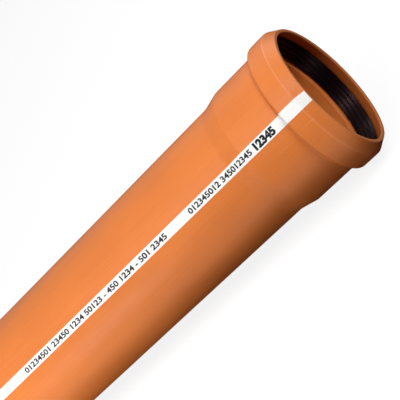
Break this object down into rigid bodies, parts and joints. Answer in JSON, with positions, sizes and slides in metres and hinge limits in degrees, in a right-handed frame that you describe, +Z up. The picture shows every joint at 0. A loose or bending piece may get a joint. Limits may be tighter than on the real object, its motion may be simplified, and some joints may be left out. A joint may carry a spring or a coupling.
{
  "type": "plastic drainage pipe",
  "caption": "Straight orange-brown plastic drain pipe with a plain chamfered end and a formed socket that holds a black rubber sealing ring.",
  "frame": {"origin": "on the pipe's axis at the stop inside the socket, where the plain end of the next pipe comes to rest", "axes": "+X along the axis towards the socket's mouth, +Z up from the floor that the pipe lies on"},
  "size_m": [0.57, 0.127, 0.1271],
  "materials": {
    "pipe_plastic": "satin extruded PVC-U",
    "seal_rubber": "smooth moulded rubber"
  },
  "bodies": {
    "root": {"pipe": "pipe_plastic", "sealing_ring": "seal_rubber"}
  },
  "joints": []
}
